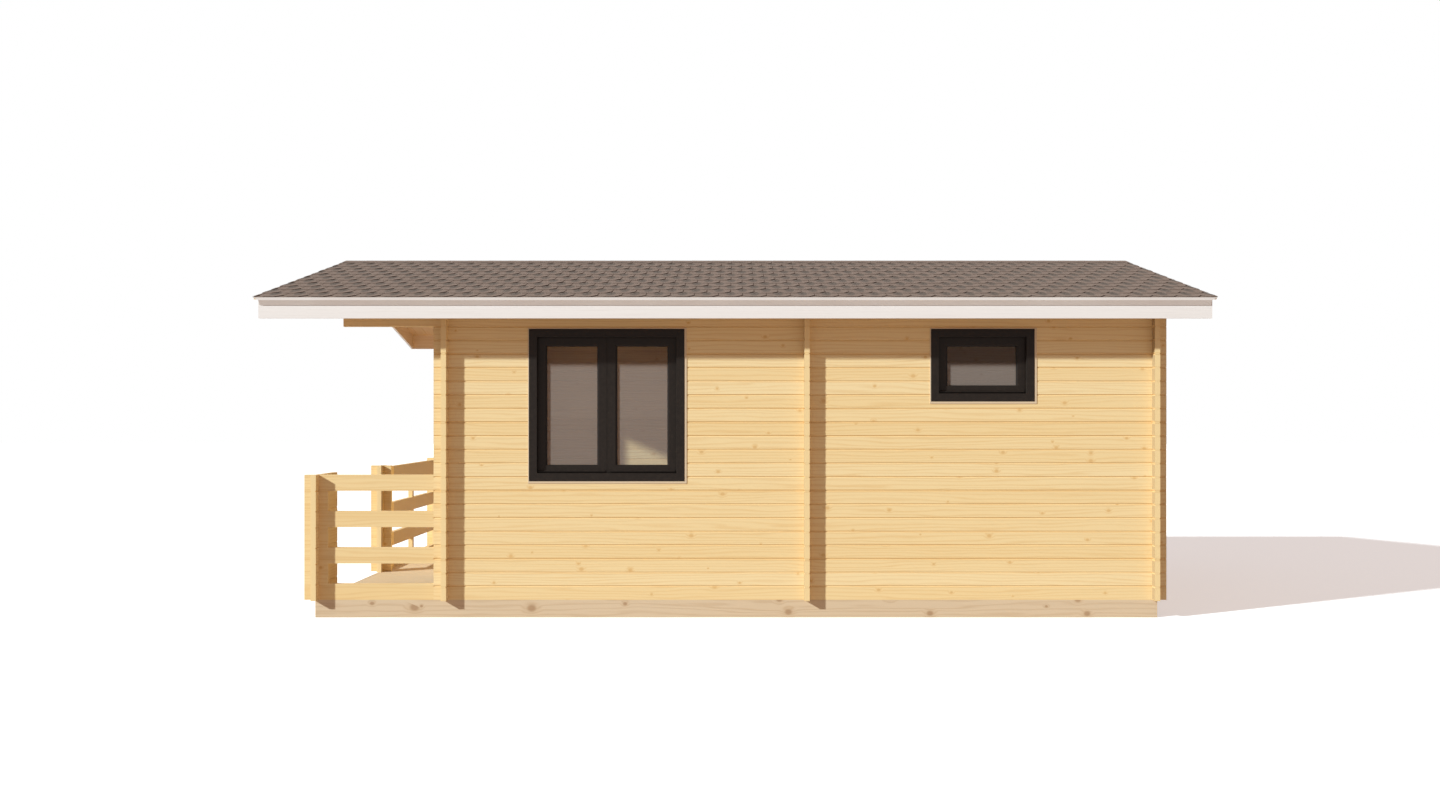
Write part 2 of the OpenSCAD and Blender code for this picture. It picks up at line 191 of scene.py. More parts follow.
def woodFinish(name, along, across, thick, look=pineLook, pieceSize=None, pieceFrom=0.0, seed=0.0,
               grooves=False, shadedSide=None):
    material, flow, shader = newMaterial(name)
    at = places(flow)
    u, v, w = at[along], at[across], at[thick]
    if pieceSize:
        index = ((v - pieceFrom) / pieceSize).apply("FLOOR")
    else:
        index = flow.layer("tone") * 977.0
    tone = flow.scatter(index + seed)
    own = flow.scatter(index * 1.7 + seed + 11.3) * 40.0
    uOwn = u + own

    # knots: nearest cell point, measured in metres so that they stay round
    cell = flow.vector(uOwn / look["knotSpacing"], v / look["knotRow"] + own)
    voronoi = flow.node("TexVoronoi", {"voronoi_dimensions": "2D"}, {"Vector": cell, "Scale": 1.0}, out=2)
    point = flow.node("SeparateXYZ", None, {0: voronoi})
    luck = flow.node("SeparateColor", None, {0: voronoi.also(1)})
    du = uOwn - point * look["knotSpacing"]
    dv = v + own * look["knotRow"] - point.also(1) * look["knotRow"]
    away = (du * du * 0.6 + dv * dv).apply("SQRT")
    present = luck.apply("GREATER_THAN", 1.0 - look["knotShare"])
    radius = (luck.also(1) * 1.1 + 0.45) * look["knotRadius"]
    ratio = away / radius
    knot = (1.0 - ratio.step(0.5, 1.3)) * present
    halo = (1.0 - ratio.step(0.9, 2.8)) * present

    # long growth lines that wander slowly and bend round the knots
    drift = flow.noise(flow.vector(uOwn * 0.55, v * 7.0, w * 7.0), 1.0, 3.0, 0.55)
    fibre = flow.noise(flow.vector(uOwn * 3.0, v * 160.0, w * 160.0), 1.0, 3.0, 0.6)
    lines = (v * look["lineDensity"] + w * 60.0 + drift * 34.0 + halo * 4.5).apply("SINE") * 0.5 + 0.5
    late = (lines ** 3.0) * (drift * 1.1 + 0.15)

    colour = flow.blend((tone - 0.5) * look["toneSpread"] + drift * 0.55 + 0.15, look["pale"], look["mid"])
    colour = flow.blend(late * 0.55 + fibre * 0.12, colour, look["late"])
    colour = flow.blend(halo * 0.45, colour, look["ring"])
    colour = flow.blend(knot * 0.85, colour, look["knot"])

    # end grain: rings round a heart that lies low in the wood
    heart = (v * 43.0 + own).apply("SINE") * 0.004 + w
    above = v + 0.02
    fromHeart = (heart * heart + above * above).apply("SQRT")
    rings = (fromHeart * 900.0 + drift * 6.0).apply("SINE") * 0.5 + 0.5
    endFace = at["n" + along].apply("ABSOLUTE").step(0.6, 0.8)
    endColour = flow.blend(rings * 0.4, look["end"], look["late"])
    colour = flow.blend(endFace, colour, endColour)
    height = late * 0.6 + fibre * 0.5 + knot * 0.5
    if shadedSide:  # painted shade: darker on one side, past a distance from the middle
        past = u.apply("ABSOLUTE").step(shadedSide[0] - 0.001, shadedSide[0] + 0.001)
        facing = (at["n" + thick] * shadedSide[1]).step(0.6, 0.8)
        colour = flow.blend(past * facing * 0.9, colour, look["paintedShade"])
    if grooves:
        line = ((v - pieceFrom) / pieceSize + 0.5).apply("FLOOR")
        gap = (v - pieceFrom - line * pieceSize).apply("ABSOLUTE")
        every = look["strongEvery"]
        strong = (line - (line / every).apply("FLOOR") * every).apply("COMPARE", look["strongLine"])
        reach = look["grooveReach"] + strong * look["strongReach"]
        crease = (1.0 - (gap / reach).step(0.2, 1.0)) * (0.55 + strong * 0.4)
        inside = 1.0 - (gap / look["grooveHalf"]).step(0.6, 1.0)
        colour = flow.blend(crease * (1.0 - inside * 0.9), colour, look["grooveTint"])
    rough = look["roughness"] + fibre * 0.14 - late * 0.08
    dress(flow, shader, colour, rough, height, look["bump"], look["specular"])
    return material


def colourOf(material, *names):  # gives CAD nodes a finish in place of their plain one
    for name in names:
        slots = nodes[name].data.materials
        slots.clear()
        slots.append(material)


logCourse = {"pieceSize": 0.112, "pieceFrom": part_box("near_side_wall")[0].z}
logEnds = (-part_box("near_side_wall")[0].y, -1.0)  # where the painted shade goes: past the side walls, on the faces that look to the front
wallAlongX = woodFinish("pineLogsAlongX", "x", "z", "y", seed=3.0, grooves=True, **logCourse)
wallAlongY = woodFinish("pineLogsAlongY", "y", "z", "x", seed=71.0, grooves=True, shadedSide=logEnds, **logCourse)
colourOf(wallAlongX, "near_side_wall", "far_side_wall")
colourOf(wallAlongY, "front_wall", "back_wall", "partition_wall")

railStep = {"pieceSize": 0.149, "pieceFrom": logCourse["pieceFrom"] - 0.008}
railBack = (0.2, 1.0)  # painted shade beyond 0.2 m from the middle, on the face that looks to the cabin
# the last colour here is the painted shade on the rails' faces that look to the cabin
railLook = dict(pineLook, pale=srgb(244, 215, 162), mid=srgb(237, 200, 140), paintedShade=srgb(200, 174, 146))
railAlongX = woodFinish("pineRailsAlongX", "x", "z", "y", railLook, seed=19.0, grooves=True, **logCourse)
railAlongY = woodFinish("pineRailsAlongY", "y", "z", "x", railLook, seed=29.0, shadedSide=railBack, **railStep)
stubAlongY = woodFinish("pineStubAlongY", "y", "z", "x", seed=37.0, shadedSide=logEnds, **railStep)
colourOf(railAlongX, "near_rail", "far_rail", "rail_cross")
colourOf(railAlongY, "front_rail")
colourOf(stubAlongY, "front_stub")

bearerLook = dict(
    pineLook, pale=srgb(226, 203, 173), mid=srgb(214, 186, 152), late=srgb(198, 166, 130),
    knot=srgb(176, 140, 106), ring=srgb(202, 170, 134), end=srgb(214, 188, 152),
    knotSpacing=0.42, knotRow=0.12, knotRadius=0.02, knotShare=0.45,
    lineDensity=150.0, bump=0.001, roughness=0.75,
)
bearerAlongX = woodFinish("sawnBearerAlongX", "x", "z", "y", bearerLook, pieceSize=1.0, seed=5.0)
bearerAlongY = woodFinish("sawnBearerAlongY", "y", "z", "x", bearerLook, pieceSize=1.0, seed=8.0)
colourOf(bearerAlongX, "near_bearer", "far_bearer")
colourOf(bearerAlongY, "front_bearer", "back_bearer", "floor_joists")
purlinWood = woodFinish("planedPurlin", "x", "z", "y", pieceSize=1.0, seed=14.0)
colourOf(purlinWood, "ridge_purlin", "side_purlins")
print("wood finishes done")


# Paint: white trim with raw wood on the faces that look inwards, black satin joinery

paintLook = {
    "face": srgb(241, 233, 229), "streak": srgb(228, 217, 211),
    "raw": srgb(243, 217, 190), "rawGrain": srgb(230, 200, 164),
    "drip": srgb(247, 240, 236), "dripDull": srgb(240, 231, 226),
    "black": srgb(35, 28, 24), "blackWorn": srgb(43, 35, 30),
}


def trimFinish(name, along, rawAxis, rawSign):
    material, flow, shader = newMaterial(name)
    at = places(flow)
    u, v = at[along], at["z"]
    brush = flow.noise(flow.vector(u * 1.6, v * 90.0, at[rawAxis] * 90.0), 1.0, 4.0, 0.6)
    blotch = flow.noise(at["here"], 3.0, 2.0)
    white = flow.blend(brush.step(0.45, 0.8) * 0.5 + blotch * 0.15, paintLook["face"], paintLook["streak"])
    grain = flow.noise(flow.vector(u * 0.8, v * 40.0, 3.1), 1.0, 4.0, 0.6)
    raw = flow.blend(grain.step(0.4, 0.75), paintLook["raw"], paintLook["rawGrain"])
    back = (at["n" + rawAxis] * rawSign).step(0.5, 0.7)
    dress(flow, shader, flow.blend(back, white, raw), 0.42 + brush * 0.16 + back * 0.2, brush, 0.0003)
    return material


colourOf(trimFinish("paintedFasciaNear", "x", "y", 1.0), "near_fascia")
colourOf(trimFinish("paintedFasciaFar", "x", "y", -1.0), "far_fascia")
colourOf(trimFinish("paintedBargeFront", "y", "x", 1.0), "front_near_bargeboard", "front_far_bargeboard")
colourOf(trimFinish("paintedBargeBack", "y", "x", -1.0), "back_near_bargeboard", "back_far_bargeboard")


def dripFinish():
    material, flow, shader = newMaterial("paintedDripStrip")
    at = places(flow)
    blotch = flow.noise(at["here"], 2.2, 3.0)
    speck = flow.noise(at["here"], 420.0, 2.0)
    colour = flow.blend(blotch.step(0.3, 0.75), paintLook["drip"], paintLook["dripDull"])
    dress(flow, shader, colour, 0.36 + speck * 0.12, speck, 0.0001)
    return material


dripPaint = dripFinish()


def satinFinish():
    material, flow, shader = newMaterial("blackSatinJoinery")
    at = places(flow)
    brush = flow.noise(flow.vector(at["x"] * 30.0, at["y"] * 30.0, at["z"] * 30.0), 1.0, 4.0, 0.6)
    ripple = flow.noise(at["here"], 700.0, 2.0)
    colour = flow.blend(brush.step(0.35, 0.8), paintLook["black"], paintLook["blackWorn"])
    dress(flow, shader, colour, 0.42 + brush * 0.2, brush * 0.4 + ripple * 0.6, 0.00012, 0.12)
    return material


glassLook = {
    "pale": srgb(194, 177, 166), "deep": srgb(186, 169, 158),
    "horizon": 1.64, "soft": 0.04,    # height where the painted reflection of the horizon, a paler tint, begins
    "near": 0.38, "front": 0.05,      # how much each side's film hides
    "fadeFrom": 2.065, "fadeTo": 2.10, "paintedTopShade": 0.6,  # painted shade: thinner tint along the top, so the panes show darker there
}


def glassFinish(name, node, axis, film):  # a film of tint on the outer face, clear behind it
    look = glassLook
    material, flow, shader = newMaterial(name)
    at = places(flow)
    wash = flow.noise(flow.vector(at["x"] * 2.0, at["y"] * 2.0, at["z"] * 1.2), 1.0, 3.0)
    haze = flow.noise(flow.vector(at["x"], at["y"], at["z"] * 0.25), 26.0, 3.0)
    low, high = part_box(node)
    middle = (low["xyz".index(axis)] + high["xyz".index(axis)]) / 2
    outer = (middle - at[axis]).step(-0.001, 0.001)
    # painted reflection: the tint is paler above the height where the horizon is seen
    upper = at["z"].step(look["horizon"] - look["soft"], look["horizon"] + look["soft"])
    flow.feed(shader.inputs["Base Color"], flow.blend(upper * 0.6 + wash * 0.4, look["deep"], look["pale"]))
    flow.feed(shader.inputs["Roughness"], 0.04 + haze * 0.05)
    # painted shade along the top of the panes: the tint thins and the dark room shows through
    paintedTopShade = 1.0 - at["z"].step(look["fadeFrom"], look["fadeTo"]) * look["paintedTopShade"]
    flow.feed(shader.inputs["Alpha"], outer * paintedTopShade * (film + (haze - 0.5) * 0.04) + 0.01)
    shader.inputs["Specular IOR Level"].default_value = 0.2
    return material


blackSatin = satinFinish()
smokedGlass = glassFinish("smokedGlass", "large_window_glass", "y", glassLook["near"])
clearGlass = glassFinish("clearGlass", "front_window_glass", "x", glassLook["front"])
colourOf(smokedGlass, "large_window_glass", "small_window_glass")
colourOf(clearGlass, "front_window_glass", "door_glass")
print("paint and glass done")


# Mesh making: arrays of points go straight into a mesh

def makePiece(name, points, faces, material, slot, replaced=(), **layers):
    mesh = bpy.data.meshes.new(name)
    mesh.from_pydata(points.reshape(-1, 3).tolist(), [], faces)
    work = bmesh.new()
    work.from_mesh(mesh)
    bmesh.ops.recalc_face_normals(work, faces=work.faces)
    work.to_mesh(mesh)
    work.free()
    for label, values in layers.items():
        layer = mesh.attributes.new(label, "FLOAT", "POINT")
        layer.data.foreach_set("value", np.ascontiguousarray(values, dtype=np.float32).ravel())
    mesh.materials.append(material)
    piece = bpy.data.objects.new(name, mesh)
    bpy.context.scene.collection.objects.link(piece)
    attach(piece, "root")
    if replaced:
        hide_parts(*replaced)
    return piece


def gather(parts):  # joins (points, faces) pairs into one mesh
    starts = np.cumsum([0] + [len(points) for points, _ in parts[:-1]])
    faces = [[int(k) + int(first) for k in face] for (_, some), first in zip(parts, starts) for face in some]
    return np.concatenate([points for points, _ in parts]), faces


def prismFaces(count, corners):  # sides and both ends of prisms, points ordered (prism, end, corner)
    base = (np.arange(count) * 2 * corners)[:, None, None]
    k = np.arange(corners)
    nxt = (k + 1) % corners
    sides = base + np.stack([k, nxt, nxt + corners, k + corners], axis=1)[None]
    ends = base + np.stack([k[::-1], k + corners])[None]
    return sides.reshape(-1, 4).tolist() + ends.reshape(-1, corners).tolist()


def slabFaces(count, n, m):  # both sides and the rim of slabs, points ordered (slab, layer, n, m)
    grid = np.arange(n * m).reshape(n, m)
    quads = np.stack([grid[:-1, :-1], grid[:-1, 1:], grid[1:, 1:], grid[1:, :-1]], axis=-1).reshape(-1, 4)
    border = np.concatenate([grid[0, :-1], grid[:-1, -1], grid[-1, :0:-1], grid[:0:-1, 0]])
    after = np.roll(border, -1)
    rim = np.stack([border, after, after + n * m, border + n * m], axis=1)
    one = np.concatenate([quads, quads[:, ::-1] + n * m, rim])
    return (one[None] + (np.arange(count) * 2 * n * m)[:, None, None]).reshape(-1, 4).tolist()


def plankSet(offsets, profile, start, end, origin, acrossAxis, upAxis, alongAxis):
    # a closed profile (across, up) at each offset, carried in a straight line from start to end
    offsets = np.asarray(offsets, dtype=float)
    ends = np.array([start, end], dtype=float)
    across = offsets[:, None, None] + profile[None, None, :, 0]
    up = np.broadcast_to(profile[None, None, :, 1], (len(offsets), 2, len(profile)))
    along = np.broadcast_to(ends[None, :, None], up.shape)
    across = np.broadcast_to(across, up.shape)
    points = (np.asarray(origin) + across[..., None] * np.asarray(acrossAxis)
              + up[..., None] * np.asarray(upAxis) + along[..., None] * np.asarray(alongAxis))
    tone = np.repeat(rng.random(len(offsets)), 2 * len(profile))
    return points.reshape(-1, 3), prismFaces(len(offsets), len(profile)), tone


def boardProfile(width, thickness, chamfer):  # board with its long edges taken off
    w, t, c = width / 2, thickness, chamfer
    return np.array([(-w + c, 0), (w - c, 0), (w, c), (w, t - c),
                     (w - c, t), (-w + c, t), (-w, t - c), (-w, c)])


# Roof slope: points given by x, distance down the slope from the ridge and height over the boards

roofShape = {
    "pitch": math.radians(13.25),
    "boardTop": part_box("near_roof_boards")[1].z,
    "edge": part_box("far_shingles")[1].y,
    "verge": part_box("near_shingles")[1].x,
}
slopeCos, slopeSin = math.cos(roofShape["pitch"]), math.sin(roofShape["pitch"])


def onSlope(x, down, height, side):  # side -1 is the near slope, 1 the far one
    y = side * (down * slopeCos + height * slopeSin)
    z = roofShape["boardTop"] - down * slopeSin + height * slopeCos
    return np.stack(np.broadcast_arrays(x, y, z), axis=-1)


shingleLook = {
    "tab": 0.193,          # width of a tab
    "shift": -0.067,
    "course": 0.205,       # slope length that shows
    "lap": 0.055,          # length tucked under the course above
    "gap": 0.007,
    "cut": 0.075,          # how far the lower corners are cut back
    "shortest": 0.1,       # a course nearer to the ridge is left to the caps
    "ridgeGap": 0.004,
    "sliver": 0.01,        # a tab narrower than this at the verge is left out
    "vergeGap": 0.002,
    "thick": 0.0028,
    "seat": 0.0006,        # height of a tab's upper edge over the boards
    "lift": 0.0036,        # rise to its lower edge
    "tilt": 0.0006,        # spread of its sideways lean
    "felt": 0.0012,        # sheet under the tabs
    "feltGap": 0.001,
    "cover": 0.009,        # thickness of the whole covering at the eaves
    "pale": srgb(136, 117, 106),
    "mid": srgb(131, 112, 101),
    # the next two colours paint the shade in the notches; the first also serves the granules' speckle
    "dark": srgb(102, 90, 82),
    "notchShadowCore": srgb(56, 49, 44),
}


def shingleFinish():
    material, flow, shader = newMaterial("granuleShingles")
    at = places(flow)
    here = at["here"]
    tone, reach, across = flow.layer("tone"), flow.layer("reach"), flow.layer("across")
    grit = flow.noise(here, 520.0, 3.0, 0.7)
    cloud = flow.noise(here, 1.7, 3.0)
    colour = flow.blend(tone * 0.7 + cloud * 0.3, shingleLook["pale"], shingleLook["mid"])
    # painted shade: a dark patch in the notch over a tab, where the course above shades it, with a painted deeper
    # shadow in its middle
    wobble = flow.noise(here, 34.0, 2.0) - 0.5
    offset = (reach + wobble * 0.2) / 0.78
    middle = ((across + wobble * 0.3) * across * 5.0 + offset * offset).apply("SQRT")
    colour = flow.blend((1.0 - middle.step(0.68, 1.15)) * 0.9, colour, shingleLook["dark"])
    colour = flow.blend((1.0 - middle.step(0.08, 0.3)) * 0.7, colour, shingleLook["notchShadowCore"])
    colour = flow.blend(grit.step(0.55, 0.75) * 0.3, colour, shingleLook["dark"])
    dress(flow, shader, colour, 0.86 + grit * 0.1, grit, 0.0012, 0.2)
    return material


granules = shingleFinish()


def layShingles(name, side, node):
    # a tab is a grid over (a, b): a runs across it, b down it, and its lower corners are cut back
    # as |a| passes one half; the arrays' axes are (tab, layer, b, a)
    look = shingleLook
    length = (roofShape["edge"] - look["cover"] * slopeSin) / slopeCos
    rows = np.arange(int(np.ceil(length / look["course"])) + 1)
    columns = np.arange(-1, int(2 * roofShape["verge"] / look["tab"]) + 2)
    row, column = (m.ravel() for m in np.meshgrid(rows, columns, indexing="ij"))
    centre = look["shift"] - roofShape["verge"] + (column + 0.5 * (row % 2)) * look["tab"]
    low = length - row * look["course"]
    keep = (low > look["shortest"]) & (np.abs(centre) < roofShape["verge"] + look["tab"] / 2 - look["sliver"])
    centre, low = centre[keep][:, None, None, None], low[keep][:, None, None, None]
    count = len(centre)
    a = np.array([-1.0, -0.5, 0.0, 0.5, 1.0])[None, None, None, :]
    b = np.array([0.0, 0.55, 1.0])[None, None, :, None]
    layer = np.array([1.0, 0.0])[None, :, None, None]
    tilt = rng.normal(0.0, look["tilt"], count)[:, None, None, None]
    bottom = low - look["cut"] * np.clip((np.abs(a) - 0.5) / 0.5, 0, 1)
    top = np.maximum(low - look["course"] - look["lap"], look["ridgeGap"])
    down = top + b * (bottom - top)
    limit = roofShape["verge"] - look["vergeGap"]
    x = np.clip(centre + a * (look["tab"] - look["gap"]) / 2, -limit, limit)
    height = look["seat"] + look["lift"] * b + tilt * b * a + layer * look["thick"] * (0.35 + 0.65 * b)
    shown = (down - (low - look["course"])) / look["course"]
    x, down, height, shown, spread = np.broadcast_arrays(x, down, height, shown, a)
    tabs = onSlope(x, down, height, side).reshape(-1, 3)
    tone = np.repeat(rng.random(count), len(tabs) // count)

    # felt sheet under the tabs
    wide = roofShape["verge"] - look["feltGap"]
    felt = onSlope(np.array([-wide, wide, wide, -wide] * 2), np.array([0.0, 0.0, length, length] * 2),
                   np.array([look["felt"]] * 4 + [0.0] * 4), side)
    points, faces = gather([(tabs, slabFaces(count, b.size, a.size)), (felt, prismFaces(1, 4))])
    layers = {
        "tone": np.concatenate([tone, np.full(8, 0.5)]),
        "reach": np.concatenate([shown.ravel(), np.zeros(8)]),
        "across": np.concatenate([spread.ravel(), np.ones(8)]),
    }
    makePiece(name, points, faces, granules, "shingles", (node,), **layers)
    print("shingles laid:", count, "tabs on", name)


layShingles("nearShingleTabs", -1.0, "near_shingles")
layShingles("farShingleTabs", 1.0, "far_shingles")

ridgeLook = {
    "half": 0.128, "show": 0.200, "lap": 0.05, "thick": 0.0026,
    "seat": 0.0003, "lift": 0.0014,   # height over the shingles, and the rise over the next cap
    "sag": 0.00024,                   # dip along the fold
    "vergeGap": 0.001, "shortest": 0.02,
}


def layRidge():
    # folded caps in a row: run goes along the ridge, fold from one edge over the ridge to the other;
    # the arrays' axes are (cap, layer, run, fold)
    look = ridgeLook
    verge = roofShape["verge"] - look["vergeGap"]
    start = np.arange(-verge, verge - look["shortest"], look["show"])[:, None, None, None]
    layer = np.array([1.0, 0.0])[None, :, None, None]
    run = np.array([0.0, 0.5, 1.0])[None, None, :, None]
    fold = np.array([-1.0, -0.45, -0.08, 0.0, 0.08, 0.45, 1.0])[None, None, None, :]
    x = np.minimum(start + run * (look["show"] + look["lap"]), verge)
    y = fold * look["half"]
    sag = look["sag"] * np.exp(-(fold / 0.1) ** 2)
    height = look["seat"] + look["lift"] * (1 - run) + layer * look["thick"] - sag
    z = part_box("near_shingles")[1].z - np.abs(y) * math.tan(roofShape["pitch"]) + height
    # reach and across also bring the shingles' painted notch shade onto the caps, along the fold
    x, y, z, reach, across = np.broadcast_arrays(x, y, z, 0.35 + 0.65 * (1 - run), fold)
    points = np.stack([x, y, z], axis=-1)
    tone = np.repeat(rng.random(len(start)), 2 * run.size * fold.size)
    faces = slabFaces(len(start), run.size, fold.size)
    makePiece("ridgeCaps", points, faces, granules, "shingles", ("ridge_cap",), tone=tone, reach=reach, across=across)


layRidge()
print("ridge capped")


# Boards: deck, floors and roof lining

deckLook = dict(pineLook, pale=srgb(230, 206, 172), mid=srgb(220, 192, 154), late=srgb(206, 172, 132),
                knotSpacing=0.8)
deckWood = woodFinish("deckBoards", "x", "y", "z", deckLook, seed=33.0)
liningLook = dict(pineLook, pale=srgb(238, 208, 168), mid=srgb(228, 192, 148), late=srgb(214, 174, 130))
liningWood = woodFinish("roofLining", "y", "x", "z", liningLook, seed=47.0)
floorLook = dict(pineLook, pale=srgb(196, 158, 114), mid=srgb(182, 142, 98), late=srgb(160, 120, 80))
floorWood = woodFinish("floorBoards", "x", "y", "z", floorLook, seed=61.0)
boardLook = {
    "deckWidth": 0.120, "deckGap": 0.005,
    "floorWidth": 0.110, "tightGap": 0.0004,
    "pastPartition": 0.045,           # where the second room's floor begins, from the partition's first face
    "liningWidth": 0.110, "liningThick": 0.019,
    "liningBack": 0.006,              # how far the lining ends inside its place at the eaves
    "edge": 0.003,
}


def layFloor(name, node, spans, width, gap, wood):
    # boards side by side across the cabin, each carried along x
    low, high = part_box(node)
    count = int(round((high.y - low.y + gap) / (width + gap)))
    pitch = (high.y - low.y + gap) / count
    profile = boardProfile(pitch - gap, high.z - low.z, boardLook["edge"])
    offsets = low.y + (np.arange(count) + 0.5) * pitch - gap / 2
    axes = (0, 1, 0), (0, 0, 1), (1, 0, 0)
    sets = [plankSet(offsets, profile, x0, x1, (0, 0, low.z), *axes) for x0, x1 in spans]
    points, faces = gather([some[:2] for some in sets])
    tone = np.concatenate([some[2] for some in sets])
    makePiece(name, points, faces, wood, "floor_boards", (node,), tone=tone)


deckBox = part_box("terrace_deck")
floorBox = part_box("cabin_floor")
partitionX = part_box("partition_wall")[0].x
rooms = [(floorBox[0].x, partitionX), (partitionX + boardLook["pastPartition"], floorBox[1].x)]
layFloor("deckBoards", "terrace_deck", [(deckBox[0].x, deckBox[1].x)], boardLook["deckWidth"],
         boardLook["deckGap"], deckWood)
layFloor("floorBoards", "cabin_floor", rooms, boardLook["floorWidth"], boardLook["tightGap"], floorWood)


def layLining(name, side, node):
    # boards side by side along the ridge, each carried down the slope
    low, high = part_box(node)
    thick = boardLook["liningThick"]
    count = int(round((high.x - low.x) / boardLook["liningWidth"]))
    pitch = (high.x - low.x) / count
    profile = boardProfile(pitch - boardLook["tightGap"], thick, boardLook["edge"])
    offsets = low.x + (np.arange(count) + 0.5) * pitch
    origin = (0, 0, roofShape["boardTop"] - thick / slopeCos)
    reach = (max(abs(low.y), abs(high.y)) - boardLook["liningBack"]) / slopeCos
    axes = (1, 0, 0), (0, side * slopeSin, slopeCos), (0, side * slopeCos, -slopeSin)
    end = reach - thick * slopeSin / slopeCos
    points, faces, tone = plankSet(offsets, profile, 0.0, end, origin, *axes)
    points[:, 1] = side * np.clip(side * points[:, 1], 0.0, None)
    makePiece(name, points, faces, liningWood, "roof_timber", (node,), tone=tone)


dripLook = {
    "start": (0.0015, 0.0003), "lip": (0.0069, 0.022), "foot": (0.0355, 0.060),  # in from the roof's edge, down
    "sheet": 0.0013, "vergeGap": 0.001, "cut": 0.012,
}


def foldDrip(name, side, node):
    # folded sheet under the shingles' edge: its profile leans in from the roof's edge to the fascia and is
    # carried along x, with its ends cut back from the verge above to the fascia's end below
    look = dripLook
    edge, board = roofShape["edge"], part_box("near_fascia")[1].x
    ends = np.array([roofShape["verge"] - look["vergeGap"], board - look["cut"], board - look["cut"]])
    rim = roofShape["boardTop"] - edge * math.tan(roofShape["pitch"])
    inward, drop = np.array([look["start"], look["lip"], look["foot"]]).T
    y = np.concatenate([edge - inward, edge - inward[::-1] - look["sheet"]])
    z = rim - np.concatenate([drop, drop[::-1]])
    x = np.array([[-1.0], [1.0]]) * np.concatenate([ends, ends[::-1]])
    points = np.stack(np.broadcast_arrays(x, side * y, z), axis=-1)
    makePiece(name, points, prismFaces(1, 6), dripPaint, "drip_edge", (node,))


foldDrip("nearDripSheet", -1.0, "near_drip_edge")
foldDrip("farDripSheet", 1.0, "far_drip_edge")
layLining("nearRoofLining", -1.0, "near_roof_boards")
layLining("farRoofLining", 1.0, "far_roof_boards")
print("boards laid")


# Joinery: closed rings of any profile round a rectangle, for casings, sashes and door

def ringLoop(rects, depths, place):
    # function of (profile point, corner): each profile point is a rectangle at its own depth,
    # with straight lines between the corners
    rects = np.asarray(rects, dtype=float)
    across = rects[:, [0, 2, 2, 0]]
    high = rects[:, [1, 1, 3, 3]]
    deep = np.broadcast_to(np.asarray(depths, dtype=float)[:, None], across.shape)
    n = len(rects)
    grid = np.arange(n * 4).reshape(n, 4)
    up, side = np.roll(grid, -1, axis=0), np.roll(grid, -1, axis=1)
    faces = np.stack([grid, side, np.roll(up, -1, axis=1), up], axis=-1).reshape(-1, 4)
    return place(across, deep, high).reshape(-1, 3), faces


def insetBy(rect, amounts):  # a rectangle (left, bottom, right, top) made smaller by each amount
    amounts = np.asarray(amounts, dtype=float)[:, None]
    return np.asarray(rect, dtype=float)[None] + amounts * np.array([1.0, 1.0, -1.0, -1.0])


def prismOn(across, depth, height, place):  # straight prism from arrays that spread to (end, corner)
    points = place(*np.broadcast_arrays(across, depth, height))
    return points.reshape(-1, 3), prismFaces(1, points.shape[1])


def barBetween(low, high, edge, place):
    # box in (across, depth, height) with its long upright edges taken off
    (a0, d0, z0), (a1, d1, z1) = low, high
    e = edge
    a = np.array([a0 + e, a1 - e, a1, a1, a1 - e, a0 + e, a0, a0])
    d = np.array([d0, d0, d0 + e, d1 - e, d1, d1, d1 - e, d0 + e])
    return prismOn(a, d, np.array([[z0], [z1]]), place)


def onNearWall(across, depth, height):  # depth counts inwards from the wall's outer face
    return np.stack([across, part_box("near_side_wall")[0].y + depth, height], axis=-1)


def onFrontWall(across, depth, height):
    return np.stack([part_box("near_rail")[1].x + joinery["frontFace"] + depth, across, height], axis=-1)


joinery = {
    "frontFace": 0.075,               # front wall's face behind the near rail's end
    "casing": 0.066, "lap": 0.040, "proud": 0.008, "frameDeep": 0.078, "wall": 0.044,
    "mullion": 0.012, "mullionEdge": 0.001,
    "sashIn": 0.032, "sashThick": 0.040, "sash": 0.064, "glassIn": 0.019, "glass": 0.006,
    "edge": 0.0018,                   # softened arrises
    "bead": 0.013, "sillBead": 0.003, "beadIn": 0.005, "beadGap": 0.0004,  # outside the pane
    "paneGap": 0.002, "chamferIn": 0.010, "chamferOut": 0.014, "chamferDeep": 0.004,  # on the room side
    "dripOut": 0.010, "dripTall": 0.016, "dripNose": 0.006, "dripIn": 0.012,  # weather bar
    "stripThin": 0.009, "stripWide": 0.018, "stripProud": 0.0045,
    "stripLap": 0.003, "stripSeat": -0.0002,  # strip round the casing
    "stripPale": srgb(226, 202, 172), "stripGrain": srgb(212, 184, 150),
}


def casingProfile():  # insets from the outer edge and depths behind the wall's face
    j, e = joinery, joinery["edge"]
    bar, lap, out, wall, deep = j["casing"], j["lap"], j["proud"], j["wall"], j["frameDeep"]
    back = wall + out
    insets = [0.0, e, bar - e, bar, bar, bar - e, lap, lap, e, 0.0, 0.0, lap, lap, 0.0]
    depths = [e - out, -out, -out, e - out, deep - e, deep, deep, back, back, back - e, wall, wall, 0.0, 0.0]
    return insets, depths


def roomSide(bar):  # the same for a glazed bar's profile from the pane to the room, with a chamfer
    j, e = joinery, joinery["edge"]
    pane = j["sashIn"] + j["glassIn"] + j["glass"]
    back = j["sashIn"] + j["sashThick"]
    insets = [bar, bar - j["chamferIn"], bar - j["chamferOut"], e, 0.0]
    depths = [pane + j["paneGap"], back - j["chamferDeep"], back, back, back - e]
    return insets, depths


